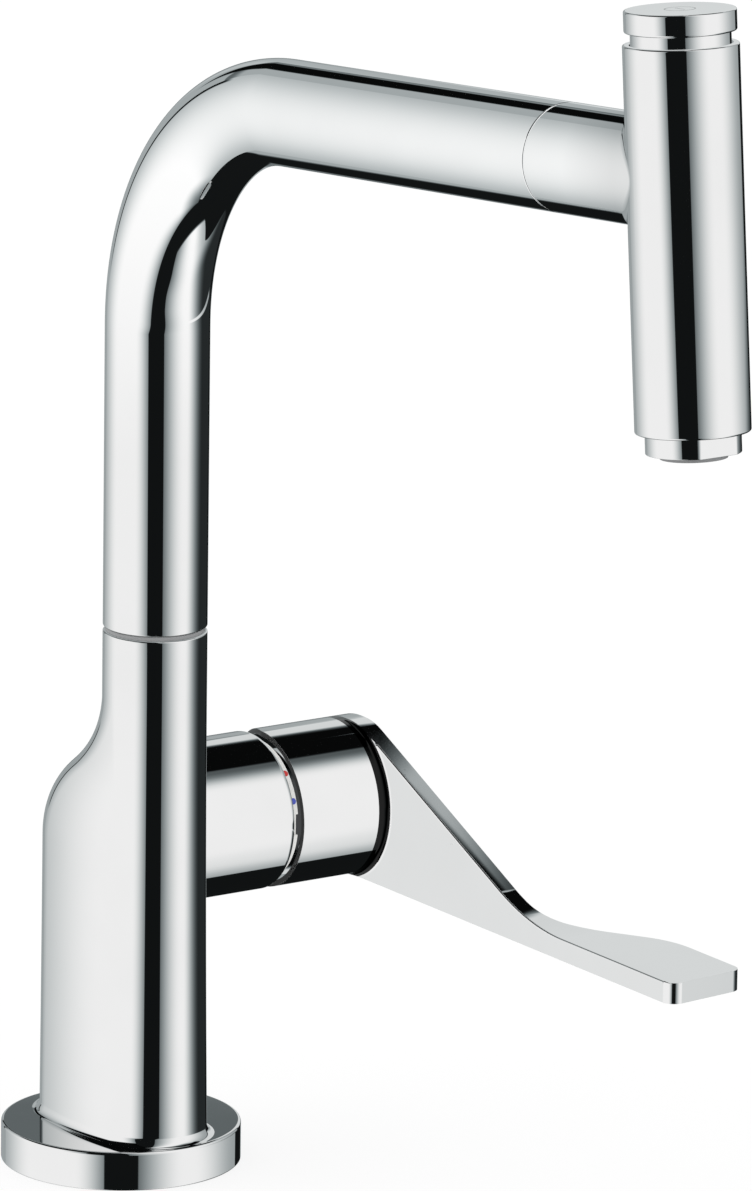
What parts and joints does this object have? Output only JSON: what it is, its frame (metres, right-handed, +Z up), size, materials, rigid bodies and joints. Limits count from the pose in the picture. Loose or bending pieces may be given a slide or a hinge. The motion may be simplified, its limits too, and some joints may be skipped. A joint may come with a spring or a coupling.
{
  "type": "pull-out mixer tap",
  "caption": "Deck mixer tap with a swivelling angled spout, a pull-out spray head with a push button on top, and a side lever.",
  "frame": {"origin": "centre of the deck disc and of the threaded shank, on the worktop plane", "axes": "+X towards the outlet, +Y towards the lever's barrel, +Z up"},
  "size_m": [0.3053, 0.1288, 0.411],
  "materials": {
    "chrome": "polished chrome plate",
    "black_rubber": "matt",
    "brass": "machined",
    "steel": "plain stainless",
    "copper": "bright copper tube",
    "hose_sleeve": "braided nylon",
    "white_plastic": "moulded",
    "grey_plastic": "moulded",
    "dark_chrome": "polished",
    "ceramic": "lapped ceramic",
    "red_mark": "gloss",
    "blue_mark": "gloss"
  },
  "bodies": {
    "tap_base": {"base_disc": "chrome", "deck_gasket": "black_rubber", "mixer_body": "chrome", "threaded_shank": "brass", "rubber_washer": "black_rubber", "steel_washer": "steel", "fixing_nut": "brass", "clamp_screws": "steel", "hot_inlet_pipe": "copper", "cold_inlet_pipe": "copper", "hose_lower": "hose_sleeve", "hose_guide": "white_plastic", "swivel_bush": "white_plastic", "body_top_ring": "grey_plastic", "cartridge_seals": "black_rubber", "cartridge_housing": "grey_plastic", "ceramic_disc_fixed": "ceramic", "cartridge_nut": "brass", "barrel_dome": "dark_chrome", "indicator_ring": "white_plastic", "hot_mark": "red_mark", "cold_mark": "blue_mark"},
    "spout": {"spout_tube": "chrome", "swivel_spigot": "brass", "spout_o_rings": "black_rubber", "spout_circlip": "steel", "spout_end_bush": "white_plastic", "hose_upper": "hose_sleeve"},
    "spray_head": {"spray_head_shell": "chrome", "docking_spigot": "brass", "hose_front": "hose_sleeve", "hose_nut": "brass", "select_valve_body": "grey_plastic", "nozzle_collar": "chrome", "aerator_insert": "grey_plastic", "aerator_seal": "black_rubber"},
    "head_button": {"select_button": "chrome", "button_stem": "brass", "button_spring": "steel"},
    "lever_carrier": {"cartridge_rotor": "white_plastic", "pivot_pin": "steel"},
    "lever": {"lever_handle": "chrome", "cartridge_stem": "steel", "grub_screw": "steel", "grub_plug": "black_rubber"},
    "mixing_disc": {"ceramic_disc_moving": "ceramic"}
  },
  "joints": [
    {"name": "spout_swivel", "type": "hinge", "parent": "tap_base", "child": "spout", "pos_m": [0.015, 0, 0.152], "axis": [0, 0, 1], "range_deg": [-75, 75]},
    {"name": "spray_pull", "type": "slide", "parent": "spout", "child": "spray_head", "axis": [0.9962, 0, 0.0872], "range_m": [0, 0.5]},
    {"name": "button_press", "type": "slide", "parent": "spray_head", "child": "head_button", "axis": [0.0872, 0, -0.9962], "range_m": [0, 0.0025], "stiffness_N_per_m": 800, "springref_m": -0.002},
    {"name": "lever_temperature", "type": "hinge", "parent": "tap_base", "child": "lever_carrier", "pos_m": [0, 0, 0.0914], "axis": [0, -1, 0], "range_deg": [0, 90]},
    {"name": "lever_flow", "type": "hinge", "parent": "lever_carrier", "child": "lever", "pos_m": [0, 0.0338, 0.0914], "axis": [0, 0, 1], "range_deg": [0, 15]},
    {"name": "disc_slide", "type": "slide", "parent": "lever_carrier", "child": "mixing_disc", "axis": [1, 0, 0], "range_m": [0, 0.00162]}
  ],
  "couplings": [
    {"joint": "disc_slide", "follows": "lever_flow", "m_per_rad": 0.00615}
  ]
}
